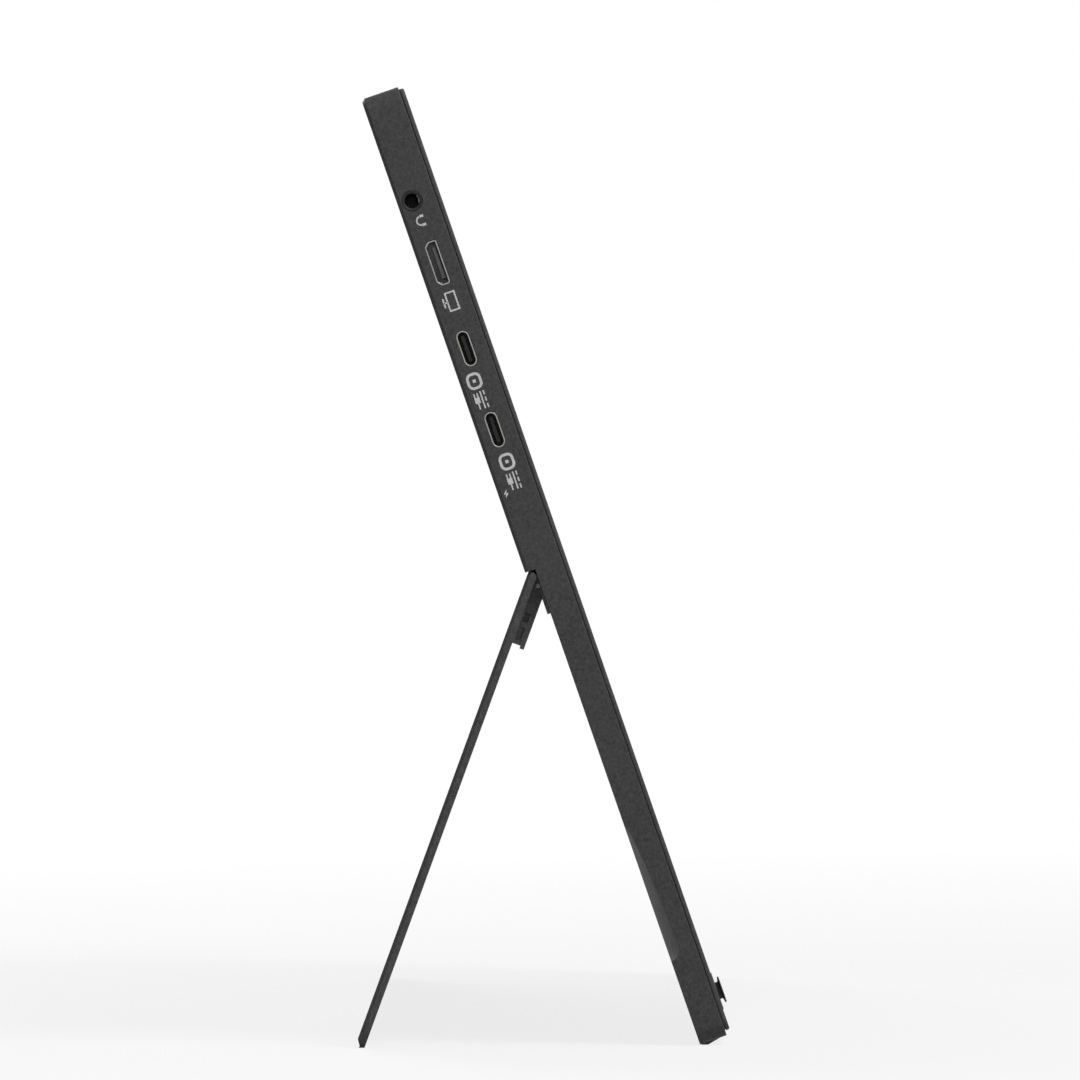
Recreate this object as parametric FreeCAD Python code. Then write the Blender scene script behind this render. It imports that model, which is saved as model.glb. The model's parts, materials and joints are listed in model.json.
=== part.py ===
import FreeCAD, Part
import math
import os

# Slim portable monitor that leans back on a full-width fold-out stand.
# Every piece is drawn with the body upright and the stand folded shut: X runs across, Y from the
# screen to the back, Z up the body, with the rear face at Y zero and the bottom edge at Z zero.
# The stand is then opened about its pins and the whole monitor leaned back onto its feet.

# Body
body_width = 356.0
upper_height = 122.7
body_thickness = 10.75
body_corner = 4.0
body_lean = 18.6
side_wall = 1.3
back_wall = 1.2
rear_chamfer = 0.8
edge_break = 0.2

# Fits
moving_gap = 0.3
running_fit = 0.02
fixed_gap = 0.1
overrun = 4.0

# Front bezel
bezel_thickness = 0.92
bezel_groove = 0.3
bezel_inset = 0.67
bezel_inset_bottom = 1.2
bezel_round = 0.5
skirt_wall = 0.9
skirt_depth = 1.2
window_margin = 0.4

# Display panel, from the glass back to the chassis
active_margin = 5.65
active_top = 5.5
active_rise = 25.1
panel_border = 2.2
panel_border_bottom = 6.4
tape_thickness = 0.18
tape_width = 1.5
glass_thickness = 1.05
diffuser_thickness = 0.4
guide_thickness = 0.7
reflector_thickness = 0.15
chassis_thickness = 0.3
chassis_wall = 0.4
light_bar_width = 1.6

# Stand
stand_thickness = 2.3
stand_length = 123.0
stand_tail = 0.5
stand_inset = 0.3
stand_corner = 4.0
stand_bevel_length = 1.5
stand_bevel_depth = 0.95
stand_edge_depth = 0.75
stand_edge_width = 1.8
stand_full_opening = 90.0

# Hinges of the stand
hinge_inset = 60.0
pin_radius = 0.7
leaf_width = 17.4
leaf_length = 17.4
leaf_thickness = 2.2
leaf_hollow_wall = 0.4
leaf_hollow_rise = 1.2
leaf_hollow_long = 3.4
leaf_hollow_short = 2.4
leaf_hollow_depth = 3.0
leaf_post = 1.3
neck_thickness = 0.8
neck_length = 2.3
cover_thickness = 1.1
cover_overhang = 0.7
bracket_width = 8.0
bracket_length = 10.3
bracket_thickness = 0.85
gusset_length = 5.4
rivet_radius = 0.5
rivet_drop = 2.8
pocket_wall = 0.6

# Screws
hinge_screw_radius = 0.8
hinge_head_radius = 1.6
hinge_head_height = 0.5
hinge_screw_bite = 1.2
bracket_screw_length = 3.4
board_screw_radius = 0.7
board_head_radius = 1.5
board_head_height = 0.8
board_screw_bite = 1.1
boss_wall = 1.3
drive_width = 0.35
drive_depth = 0.3
drive_length_share = 1.2

# Feet
foot_length = 60.0
foot_inset = 35.0
foot_width = 5.2
foot_setback = 0.3
foot_seat = 0.6
foot_proud = 1.05
foot_bite = 0.8
stand_foot_width = 1.3
stand_foot_seat = 2.0
stand_foot_proud = 1.05

# Sockets on the left edge, measured down from the top edge and in from the rear face
jack_drop = 27.7
video_spacing = 16.4
upper_usb_spacing = 22.1
lower_usb_spacing = 21.0
socket_depth = 4.45
socket_height = 3.2
socket_length = 7.6
socket_setback = 0.05
shell_wall = 0.3
usb_width = 9.0
usb_tongue_width = 6.7
usb_tongue_height = 0.7
tongue_setback = 0.9
tongue_base = 1.4
video_width = 11.2
video_chamfer = 1.0
video_corner = 0.6
video_tongue_width = 8.0
video_tongue_height = 0.8
video_tongue_shift = 0.45

# Audio jack
jack_depth = 3.65
jack_nose_radius = 2.5
jack_bore_radius = 1.8
jack_lead = 0.3
jack_length = 13.5
jack_height = 6.0
jack_thickness = 4.5
jack_end_wall = 1.0
jack_wing_reach = 1.6
jack_wing_thickness = 0.6

# Main board
board_width = 56.0
board_drop = 18.0
board_rise = 11.8
board_thickness = 1.0
board_screw_inset = 3.0
chip_side = 14.0
chip_height = 1.1
coil_side = 6.0
coil_height = 2.6
coil_pitch = 9.0
can_width = 22.0
can_length = 26.0
can_height = 2.4
can_wall = 0.2
plug_width = 15.0
plug_height = 4.0
plug_thickness = 1.6

# Panel driver board and the flat cables
driver_inset = 68.0
driver_height = 9.0
driver_thickness = 0.8
driver_rise = 3.0
flex_width = 12.0
flex_thickness = 0.2
flex_bend_height = 8.0
flex_inset = 44.0
stick_flex_width = 5.0

# Speakers
speaker_length = 36.0
speaker_height = 11.0
speaker_thickness = 3.4
speaker_corner = 2.0
speaker_inset = 86.0
speaker_rise = 4.0
slot_count = 7
slot_pitch = 4.0
slot_width = 1.3
slot_height = 6.5
lead_radius = 0.6
lead_rise = 3.0
lead_bend = 4.0

# Menu stick, on the lower bezel
stick_inset = 28.0
stick_height = 9.75
stick_reach = 1.6
cap_radius = 3.38
cap_rim = 0.4
cap_dish = 0.3
cap_crown = 0.25
stem_radius = 2.2
stem_sink = 0.4
neck_radius = 1.1
neck_end = 2.4
collar_radius = 4.8
collar_height = 0.25
collar_hole_radius = 2.65
rocker_top = 1.4
rocker_thickness = 0.8
rocker_wall = 0.7
trunnion_radius = 0.22
trunnion_grip = 0.3
plunger_floor = 0.5
plunger_wall = 0.4
press_travel = 0.3
switch_side = 8.0
switch_floor = 0.5
switch_top = 1.15
stick_board_width = 20.0
stick_board_height = 10.0
stick_board_thickness = 0.8
stick_screw_spacing = 15.0
stick_plug_width = 6.0
stick_plug_height = 4.0

# Finger scoop on both side edges
scoop_end = 21.7
scoop_length = 36.0
scoop_radius = 4.3
scoop_depth = 1.3
scoop_pad = 1.2

# Sizes that follow from the ones above
half_width = body_width / 2
recess_top = stand_length + moving_gap
body_height = recess_top + upper_height
housing_depth = body_thickness - bezel_thickness - bezel_groove
bezel_front = -body_thickness
bezel_rear = bezel_front + bezel_thickness
glass_front = bezel_rear + tape_thickness
glass_rear = glass_front + glass_thickness
diffuser_rear = glass_rear + diffuser_thickness
guide_rear = diffuser_rear + guide_thickness
reflector_rear = guide_rear + reflector_thickness
chassis_rear = reflector_rear + chassis_thickness
active_half = half_width - active_margin
panel_half = active_half + panel_border
panel_bottom = active_rise - panel_border_bottom
panel_top = body_height - active_top + panel_border
light_half = panel_half - chassis_wall
light_bottom = panel_bottom + chassis_wall
guide_bottom = light_bottom + light_bar_width
light_top = panel_top - chassis_wall
recess_floor = -stand_thickness - moving_gap
lower_wall_inner = recess_floor - back_wall
barrel_radius = stand_thickness / 2
pivot_y = -barrel_radius
pivot_z = stand_length - barrel_radius
leaf_inner = pivot_y - barrel_radius - leaf_thickness
cover_inner = leaf_inner - cover_thickness
cover_start = pivot_z - neck_length - leaf_thickness + neck_thickness
cover_end = pivot_z - leaf_length - cover_overhang
cover_swing = math.hypot(pivot_y - cover_inner, pivot_z - cover_end)
pocket_floor = cover_inner - moving_gap
pocket_end = pivot_z - cover_swing - moving_gap
pocket_half = leaf_width / 2 + moving_gap
hinge_half = pocket_half + bracket_width
bracket_top = recess_floor + bracket_thickness
rivet_y = (recess_floor + pivot_y) / 2
rivet_z = pivot_z - rivet_drop
scoop_half = math.sqrt(scoop_depth * (2 * scoop_radius - scoop_depth))
stand_half = half_width - stand_inset
socket_mouth = -half_width + socket_setback
inner_side = -half_width + side_wall + fixed_gap
board_front = -socket_depth + socket_height / 2
board_rear = board_front + board_thickness
board_top = body_height - board_drop
board_bottom = recess_top + side_wall + board_rise
board_height = board_top - board_bottom
board_right = inner_side + board_width
jack_z = body_height - jack_drop
video_z = jack_z - video_spacing
upper_usb_z = video_z - upper_usb_spacing
lower_usb_z = upper_usb_z - lower_usb_spacing
hinge_offset = half_width - hinge_inset
foot_offset = half_width - foot_inset
speaker_offset = half_width - speaker_inset
driver_half = half_width - driver_inset
flex_x = -half_width + flex_inset
stick_x = -half_width + stick_inset
jack_inner = inner_side + jack_length
speaker_bottom = recess_top + side_wall + speaker_rise
speaker_front = -back_wall - speaker_thickness
plug_front = board_front - plug_thickness
stick_pivot_y = bezel_front + rocker_top + rocker_thickness / 2
switch_front = bezel_front + switch_top
rocker_radius = neck_radius + moving_gap + rocker_wall
plunger_inner = rocker_radius + moving_gap
plunger_radius = plunger_inner + plunger_wall
plunger_front = bezel_rear + moving_gap
plunger_floor_front = bezel_front + neck_end + moving_gap
plunger_rear = plunger_floor_front + plunger_floor
well_radius = plunger_radius + moving_gap
well_floor = plunger_rear + press_travel + fixed_gap
stick_board_front = well_floor + switch_floor
stick_board_rear = stick_board_front + stick_board_thickness
boss_radius = hinge_screw_radius + boss_wall

# Lean of the body and opening of the stand, both set by the feet on one level
lean = math.radians(body_lean)
foot_rear = recess_floor - foot_setback
foot_low = -foot_proud
foot_front = foot_rear - foot_width
ground_level = -foot_rear * math.sin(lean) + foot_low * math.cos(lean) + foot_bite
pivot_level = -pivot_y * math.sin(lean) + pivot_z * math.cos(lean) - ground_level
stand_foot_low = -stand_tail - stand_foot_proud
stand_foot_top = stand_foot_seat - stand_tail
stand_reach = pivot_z - stand_foot_low
stand_radius = math.hypot(barrel_radius, stand_reach)
stand_tilt = math.acos((pivot_level + foot_bite) / stand_radius) + math.atan2(barrel_radius, stand_reach)
stand_opening = math.degrees(stand_tilt) + body_lean

across = FreeCAD.Vector(1, 0, 0)
backward = FreeCAD.Vector(0, 1, 0)
upward = FreeCAD.Vector(0, 0, 1)
sides = (("left", -1), ("right", 1))


def point(x, y, z):
    return FreeCAD.Vector(x, y, z)


def box(x0, x1, y0, y1, z0, z1):
    return Part.makeBox(x1 - x0, y1 - y0, z1 - z0, point(x0, y0, z0))


def rod_x(radius, x0, x1, y, z):
    return Part.makeCylinder(radius, x1 - x0, point(x0, y, z), across)


def rod_y(radius, y0, y1, x, z):
    return Part.makeCylinder(radius, y1 - y0, point(x, y0, z), backward)


def prism_x(outline, x0, x1):
    corners = [point(x0, y, z) for y, z in outline]
    face = Part.Face(Part.makePolygon(corners + corners[:1]))
    return face.extrude(point(x1 - x0, 0, 0))


def spun_y(outline, x, z):
    # a turned piece about the stick's axis, from (radius, y) points
    corners = [point(x + radius, y, z) for radius, y in outline]
    face = Part.Face(Part.makePolygon(corners + corners[:1]))
    return face.revolve(point(x, 0, z), backward, 360)


def join(shapes):
    return shapes[0].multiFuse(shapes[1:]).removeSplitter()


def edges_near(shape, axis, value):
    # edges that lie wholly at one coordinate
    reach = fixed_gap / 10
    found = []
    for edge in shape.Edges:
        bounds = edge.BoundBox
        low = getattr(bounds, axis + "Min")
        high = getattr(bounds, axis + "Max")
        if abs(low - value) < reach and abs(high - value) < reach:
            found.append(edge)
    return found


def edges_along(shape, axis):
    found = []
    for edge in shape.Edges:
        bounds = edge.BoundBox
        if getattr(bounds, axis + "Length") > bounds.DiagonalLength / 2:
            found.append(edge)
    return found


def slab(x0, x1, z0, z1, y0, y1, corner):
    # upright plate with rounded corners
    plate = box(x0, x1, y0, y1, z0, z1)
    return plate.makeFillet(corner, edges_along(plate, "Y"))


def obround_x(width, height, x0, x1, y, z):
    # slot form with its long side up the body
    radius = height / 2
    straight = width / 2 - radius
    middle = box(x0, x1, y - radius, y + radius, z - straight, z + straight)
    ends = [rod_x(radius, x0, x1, y, z + side * straight) for side in (-1, 1)]
    return join([middle] + ends)


def video_form(grow, x0, x1):
    # rounded socket form with its two rear corners cut off
    half = video_width / 2 + grow
    front = -socket_depth - socket_height / 2 - grow
    rear = -socket_depth + socket_height / 2 + grow
    z = video_z
    outline = [(front, z - half), (rear - video_chamfer, z - half), (rear, z - half + video_chamfer)]
    outline += [(rear, z + half - video_chamfer), (rear - video_chamfer, z + half), (front, z + half)]
    form = prism_x(outline, x0, x1)
    return form.makeFillet(video_corner + grow, edges_along(form, "X"))


def screw(radius, length, head_radius, head_height, x, y, z, way):
    # head against y, shank running the given way along Y, with a cross recess in the head
    shank_end = y + way * length
    head_end = y + way * head_height
    shank = rod_y(radius, min(y, shank_end), max(y, shank_end), x, z)
    head = rod_y(head_radius, min(y, head_end), max(y, head_end), x, z)
    solid = join([head, shank])
    half = radius * drive_length_share
    slot_end = y + way * drive_depth
    y0, y1 = min(y, slot_end), max(y, slot_end)
    long_slot = box(x - half, x + half, y0, y1, z - drive_width / 2, z + drive_width / 2)
    cross_slot = box(x - drive_width / 2, x + drive_width / 2, y0, y1, z - half, z + half)
    return solid.cut([long_slot, cross_slot])


# Places shared by screws, bosses and holes
usb_places = (("upper", upper_usb_z), ("lower", lower_usb_z))
bracket_screw_z = pivot_z - (bracket_length + gusset_length) / 2
leaf_screw_rows = (cover_start - leaf_length / 5, cover_end + leaf_length / 5)
board_screw_x = (inner_side + board_screw_inset + socket_length, board_right - board_screw_inset)
board_screw_z = (board_bottom + board_screw_inset, board_top - board_screw_inset)


def hinge_centres():
    return [(name, way * hinge_offset) for name, way in sides]


def bracket_places():
    # name, start, end and screw place of each fixed bracket along X
    places = []
    for name, centre in hinge_centres():
        outward = 1 if centre > 0 else -1
        for label, way in (("inner", -outward), ("outer", outward)):
            near = centre + way * pocket_half
            far = centre + way * hinge_half
            places.append((name + "_hinge_bracket_" + label, min(near, far), max(near, far)))
    return places


def leaf_screw_places():
    quarter = leaf_width / 4
    columns = [centre + way * quarter for _, centre in hinge_centres() for way in (-1, 1)]
    return [(x, z) for x in columns for z in leaf_screw_rows]


def stick_screw_places():
    return [stick_x + way * stick_screw_spacing / 2 for way in (-1, 1)]


def foot_blocks(y0, y1, z0, z1):
    half = foot_length / 2
    return [box(way * foot_offset - half, way * foot_offset + half, y0, y1, z0, z1) for _, way in sides]


def body_feet():
    # flush in front, proud at the rear where the monitor stands
    outline = [(foot_rear, foot_seat), (foot_rear, foot_low), (foot_front, 0), (foot_front, foot_seat)]
    half = foot_length / 2
    return [prism_x(outline, way * foot_offset - half, way * foot_offset + half) for _, way in sides]


# Casing
def scoop_cutter(way):
    # fades out up the edge and ends in a round at the bottom
    base = point(way * (half_width + scoop_radius - scoop_depth), recess_floor, scoop_end + scoop_half)
    tip = point(way * (half_width + scoop_radius), recess_floor, scoop_end + scoop_length)
    run = tip - base
    return Part.makeCylinder(scoop_radius, run.Length, base, run).fuse(Part.makeSphere(scoop_radius, base))


def scoop_backing(way):
    # thicker wall behind the scoop
    x0 = half_width - scoop_depth - scoop_pad
    x1 = half_width - side_wall / 2
    y0 = recess_floor - scoop_half - scoop_pad
    z0 = scoop_end - scoop_pad
    pad = box(x0, x1, y0, lower_wall_inner + back_wall / 2, z0, scoop_end + scoop_length)
    return pad if way > 0 else pad.mirror(point(0, 0, 0), across)


def hinge_tub(centre):
    half = pocket_half + pocket_wall
    z1 = pivot_z + pocket_wall
    z0 = pocket_end - pocket_wall
    return box(centre - half, centre + half, pocket_floor - pocket_wall, recess_floor, z0, z1)


def hinge_pocket(centre):
    return box(centre - pocket_half, centre + pocket_half, pocket_floor, overrun, pocket_end, pivot_z)


def speaker_slots(centre):
    z0 = speaker_bottom + (speaker_height - slot_height) / 2
    first = centre - slot_pitch * (slot_count - 1) / 2
    starts = [first + index * slot_pitch - slot_width / 2 for index in range(slot_count)]
    return [box(x, x + slot_width, -back_wall - overrun, overrun, z0, z0 + slot_height) for x in starts]


def socket_holes():
    x0, x1 = -half_width - overrun, -half_width + side_wall + overrun
    holes = [rod_x(jack_nose_radius + fixed_gap, x0, x1, -jack_depth, jack_z), video_form(fixed_gap, x0, x1)]
    width = usb_width + 2 * fixed_gap
    height = socket_height + 2 * fixed_gap
    holes += [obround_x(width, height, x0, x1, -socket_depth, z) for _, z in usb_places]
    return holes


def rear_housing():
    shell = slab(-half_width, half_width, 0, body_height, -housing_depth, 0, body_corner)
    shell = shell.makeChamfer(rear_chamfer, edges_near(shell, "Y", 0))
    shell = shell.makeChamfer(edge_break, edges_near(shell, "Y", -housing_depth))
    inner_half = half_width - side_wall
    inner_corner = body_corner - side_wall
    inner_top = body_height - side_wall
    front = -housing_depth - overrun
    cavity = slab(-inner_half, inner_half, side_wall, inner_top, front, lower_wall_inner, inner_corner)
    upper_floor = recess_top + side_wall
    upper_cavity = slab(-inner_half, inner_half, upper_floor, inner_top, front, -back_wall, inner_corner)
    recess = box(-half_width - overrun, half_width + overrun, recess_floor, overrun, -overrun, recess_top)
    shell = shell.cut([cavity, upper_cavity, recess])

    added = [hinge_tub(centre) for _, centre in hinge_centres()]
    added += [scoop_backing(way) for _, way in sides]
    for _, x0, x1 in bracket_places():
        boss_front = bracket_top - bracket_screw_length - pocket_wall
        added.append(rod_y(boss_radius, boss_front, recess_floor, (x0 + x1) / 2, bracket_screw_z))
    board_boss = board_screw_radius + boss_wall
    for x in board_screw_x:
        for z in board_screw_z:
            added.append(rod_y(board_boss, board_rear, -back_wall / 2, x, z))
    for x in stick_screw_places():
        added.append(rod_y(board_boss, stick_board_rear, recess_floor - back_wall / 2, x, stick_height))
    shell = join([shell] + added)

    cuts = [hinge_pocket(centre) for _, centre in hinge_centres()]
    cuts += [scoop_cutter(way) for _, way in sides]
    cuts += socket_holes()
    for _, way in sides:
        cuts += speaker_slots(way * speaker_offset)
    for _, x0, x1 in bracket_places():
        hole_end = bracket_top - bracket_screw_length
        cuts.append(rod_y(hinge_screw_radius, hole_end, overrun, (x0 + x1) / 2, bracket_screw_z))
    for x in board_screw_x:
        for z in board_screw_z:
            cuts.append(rod_y(board_screw_radius, board_front - overrun, board_rear + board_screw_bite, x, z))
    for x in stick_screw_places():
        hole_end = stick_board_rear + board_screw_bite
        cuts.append(rod_y(board_screw_radius, stick_board_front - overrun, hole_end, x, stick_height))
    cuts += foot_blocks(foot_front, foot_rear, -overrun, foot_seat)
    return shell.cut(cuts)


def bezel_window(y0, y1):
    half = active_half + window_margin
    top = body_height - active_top + window_margin
    return box(-half, half, y0, y1, active_rise - window_margin, top)


def front_bezel():
    half = half_width - bezel_inset
    top = body_height - bezel_inset
    plate = slab(-half, half, bezel_inset_bottom, top, bezel_front, bezel_rear, body_corner - bezel_inset)
    plate = plate.makeFillet(bezel_round, edges_near(plate, "Y", bezel_front))
    skirt_half = half_width - side_wall - fixed_gap
    skirt_low = side_wall + fixed_gap
    skirt_top = body_height - side_wall - fixed_gap
    corner = body_corner - side_wall - fixed_gap
    outer = slab(-skirt_half, skirt_half, skirt_low, skirt_top, bezel_rear, bezel_rear + skirt_depth, corner)
    hole_half = skirt_half - skirt_wall
    hole = box(-hole_half, hole_half, bezel_rear - overrun, bezel_rear + skirt_depth + overrun,
               skirt_low + skirt_wall, skirt_top - skirt_wall)
    collar = rod_y(collar_radius, bezel_front - collar_height, bezel_rear, stick_x, stick_height)
    collar = collar.makeChamfer(collar_height / 2, edges_near(collar, "Y", bezel_front - collar_height))
    # closes the end of the groove along the top
    rib = box(-hole_half, hole_half, bezel_rear, -housing_depth, skirt_top - skirt_wall, top - fixed_gap)
    frame = join([plate, outer.cut(hole), rib, collar])
    front = bezel_front - overrun
    window = bezel_window(front, bezel_rear + overrun)
    stick_hole = rod_y(collar_hole_radius, front, bezel_rear + overrun, stick_x, stick_height)
    return frame.cut([window, stick_hole])


# Display panel
def panel_tape():
    outer = box(-panel_half, panel_half, bezel_rear, glass_front, panel_bottom, panel_top)
    inner_half = panel_half - tape_width
    inner = box(-inner_half, inner_half, bezel_rear - overrun, glass_front + overrun,
                panel_bottom + panel_border_bottom - panel_border + tape_width, panel_top - tape_width)
    return outer.cut(inner)


def display_glass():
    return box(-panel_half, panel_half, glass_front, glass_rear, panel_bottom, panel_top)


def light_sheet(y_front, y_rear, z0):
    return box(-light_half, light_half, y_front, y_rear, z0, light_top)


def light_bar():
    return box(-light_half, light_half, diffuser_rear, guide_rear, light_bottom, guide_bottom)


def panel_chassis():
    tray = box(-panel_half, panel_half, glass_rear, chassis_rear, panel_bottom, panel_top)
    return tray.cut(light_sheet(glass_rear - overrun, reflector_rear, light_bottom))


def driver_board():
    z0 = panel_bottom + driver_rise
    rear = chassis_rear + driver_thickness
    return box(-driver_half, driver_half, chassis_rear, rear, z0, z0 + driver_height)


def display_flex():
    # rises up the chassis, then steps back to its plug on the main board
    z0 = panel_bottom + driver_rise + driver_height
    bend = board_bottom - flex_bend_height
    y0 = chassis_rear
    y1 = plug_front - flex_thickness
    z1 = board_bottom + plug_height
    outline = [(y0, z0), (y0, bend), (y1, board_bottom), (y1, z1), (y1 + flex_thickness, z1)]
    outline += [(y1 + flex_thickness, board_bottom), (y0 + flex_thickness, bend), (y0 + flex_thickness, z0)]
    strip = prism_x(outline, flex_x - flex_width / 2, flex_x + flex_width / 2)
    foot = box(flex_x - flex_width / 2, -driver_half, y0, y0 + flex_thickness, z0 - driver_height, z0)
    return join([strip, foot])


# Main board and sockets
def main_board():
    board = box(inner_side, board_right, board_front, board_rear, board_bottom, board_top)
    notch_half = jack_height / 2 + fixed_gap
    notch = box(inner_side - overrun, jack_inner + fixed_gap, board_front - overrun, board_rear + overrun,
                jack_z - notch_half, jack_z + notch_half)
    holes = [rod_y(board_screw_radius, board_front - overrun, board_rear + overrun, x, z)
             for x in board_screw_x for z in board_screw_z]
    return board.cut([notch] + holes)


def on_board(x, z, width, height, thickness):
    half = width / 2
    return box(x - half, x + half, board_front - thickness, board_front, z - height / 2, z + height / 2)


def board_chips():
    column = board_right - board_width / 4
    middle = board_bottom + board_height / 4
    solids = [on_board(column, middle, chip_side, chip_side, chip_height)]
    for index in range(3):
        z = middle + chip_side + index * coil_pitch
        solids.append(on_board(column, z, coil_side, coil_side, coil_height))
    z = board_bottom + plug_height / 2
    solids.append(on_board(flex_x, z, plug_width, plug_height, plug_thickness))
    z = board_bottom + stick_plug_height / 2
    rise = board_front - lower_wall_inner
    solids.append(on_board(stick_x, z, stick_plug_width, stick_plug_height, rise))
    return Part.makeCompound(solids)


def shield_can():
    x = inner_side + socket_length + board_width / 3
    z = board_top - board_height / 4
    can = on_board(x, z, can_width, can_length, can_height)
    hollow = on_board(x, z, can_width - 2 * can_wall, can_length - 2 * can_wall, can_height - can_wall)
    return can.cut(hollow)


def usb_shell(z):
    end = socket_mouth + socket_length
    outer = obround_x(usb_width, socket_height, socket_mouth, end, -socket_depth, z)
    inner = obround_x(usb_width - 2 * shell_wall, socket_height - 2 * shell_wall, socket_mouth - overrun,
                      end - shell_wall, -socket_depth, z)
    return outer.cut(inner)


def usb_tongue(z):
    end = socket_mouth + socket_length - shell_wall
    base = obround_x(usb_width - 2 * shell_wall, socket_height - 2 * shell_wall, end - tongue_base, end,
                     -socket_depth, z)
    half = usb_tongue_width / 2
    blade = box(socket_mouth + tongue_setback, end, -socket_depth - usb_tongue_height / 2,
                -socket_depth + usb_tongue_height / 2, z - half, z + half)
    return join([base, blade])


def video_shell():
    end = socket_mouth + socket_length
    outer = video_form(0, socket_mouth, end)
    return outer.cut(video_form(-shell_wall, socket_mouth - overrun, end - shell_wall))


def video_tongue():
    z = video_z
    end = socket_mouth + socket_length - shell_wall
    base = video_form(-shell_wall, end - tongue_base, end)
    y = -socket_depth - video_tongue_shift
    blade = box(socket_mouth + tongue_setback, end, y - video_tongue_height / 2, y + video_tongue_height / 2,
                z - video_tongue_width / 2, z + video_tongue_width / 2)
    return join([base, blade])


def audio_jack():
    half = jack_height / 2
    thick = jack_thickness / 2
    y0, y1 = -jack_depth - thick, -jack_depth + thick
    block = box(inner_side, jack_inner, y0, y1, jack_z - half, jack_z + half)
    wing_half = half + jack_wing_reach
    wing = box(inner_side, jack_inner, board_front - jack_wing_thickness, board_front, jack_z - wing_half,
               jack_z + wing_half)
    nose = rod_x(jack_nose_radius, socket_mouth, inner_side + jack_end_wall, -jack_depth, jack_z)
    bore = rod_x(jack_bore_radius, socket_mouth - overrun, jack_inner - jack_end_wall, -jack_depth, jack_z)
    mouth = point(socket_mouth, -jack_depth, jack_z)
    lead = Part.makeCone(jack_bore_radius + jack_lead, jack_bore_radius, jack_lead, mouth, across)
    return join([block, wing, nose]).cut([bore, lead])


# Speakers
def speaker(centre):
    half = speaker_length / 2
    can = slab(centre - half, centre + half, speaker_bottom, speaker_bottom + speaker_height, speaker_front,
               -back_wall, speaker_corner)
    z = speaker_bottom + speaker_height / 2
    inset = half - speaker_corner
    dish = obround_face(centre, z, inset, speaker_height / 2 - speaker_corner)
    return can.cut(dish)


def obround_face(x, z, half_long, radius):
    # shallow oval hollow that leaves the cone below the rim
    y0 = -back_wall - speaker_thickness / 4
    straight = half_long - radius
    middle = box(x - straight, x + straight, y0, overrun, z - radius, z + radius)
    return join([middle] + [rod_y(radius, y0, overrun, x + way * straight, z) for way in (-1, 1)])


def speaker_leads():
    # wires lying on the inside of the back wall, from each speaker to the edge of the board
    y = -back_wall - lead_radius
    near_z = speaker_bottom + speaker_height / 2
    far_z = speaker_bottom + speaker_height + lead_rise
    left_end = -speaker_offset - speaker_length / 2
    right_end = speaker_offset - speaker_length / 2
    short = rod_x(lead_radius, board_right, left_end, y, near_z)
    turn_x = right_end - lead_bend
    rise = far_z - near_z - 2 * lead_bend
    corner = lead_bend * math.sqrt(0.5)
    low_turn = Part.Arc(point(turn_x, y, near_z), point(turn_x - corner, y, near_z + lead_bend - corner),
                        point(turn_x - lead_bend, y, near_z + lead_bend))
    climb = Part.LineSegment(point(turn_x - lead_bend, y, near_z + lead_bend),
                             point(turn_x - lead_bend, y, near_z + lead_bend + rise))
    high_turn = Part.Arc(point(turn_x - lead_bend, y, far_z - lead_bend),
                         point(turn_x - 2 * lead_bend + corner, y, far_z - lead_bend + corner),
                         point(turn_x - 2 * lead_bend, y, far_z))
    run = Part.LineSegment(point(turn_x - 2 * lead_bend, y, far_z), point(board_right, y, far_z))
    out = Part.LineSegment(point(right_end, y, near_z), point(turn_x, y, near_z))
    path = Part.Wire([piece.toShape() for piece in (out, low_turn, climb, high_turn, run)])
    ring = Part.Wire(Part.makeCircle(lead_radius, point(right_end, y, near_z), across))
    long = path.makePipeShell([ring], True, False)
    return Part.makeCompound([short, long])


# Menu stick
def stick_cap():
    face = bezel_front - stick_reach
    under = face + cap_rim
    crown = under + cap_crown
    outline = [(0, face + cap_dish), (cap_radius / 2, face + cap_dish / 2), (cap_radius - cap_rim / 2, face)]
    outline += [(cap_radius, face + cap_rim / 2), (cap_radius - cap_rim / 4, under)]
    outline += [(stem_radius, crown), (0, crown)]
    return spun_y(outline, stick_x, stick_height)


def trunnion_across(radius, reach):
    return rod_x(radius, stick_x - reach, stick_x + reach, stick_pivot_y, stick_height)


def trunnion_upward(radius, reach):
    return Part.makeCylinder(radius, 2 * reach, point(stick_x, stick_pivot_y, stick_height - reach), upward)


def menu_stick():
    top = bezel_front - stick_reach + cap_rim + cap_crown
    sink = bezel_front + stem_sink
    outline = [(0, top), (stem_radius, top), (stem_radius, sink), (neck_radius, sink)]
    outline += [(neck_radius, bezel_front + neck_end), (0, bezel_front + neck_end)]
    pins = trunnion_upward(trunnion_radius, neck_radius + moving_gap + trunnion_grip)
    return join([spun_y(outline, stick_x, stick_height), pins])


def stick_rocker():
    front = bezel_front + rocker_top
    rear = front + rocker_thickness
    hole = neck_radius + moving_gap
    outline = [(hole, front), (rocker_radius, front), (rocker_radius, rear), (hole, rear)]
    inside = rod_y(rocker_radius - rocker_wall / 2, front, rear, stick_x, stick_height)
    pins = trunnion_across(trunnion_radius, plunger_inner + trunnion_grip).cut(inside)
    ring = join([spun_y(outline, stick_x, stick_height), pins])
    return ring.cut(trunnion_upward(trunnion_radius + running_fit, rocker_radius + overrun))


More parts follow.
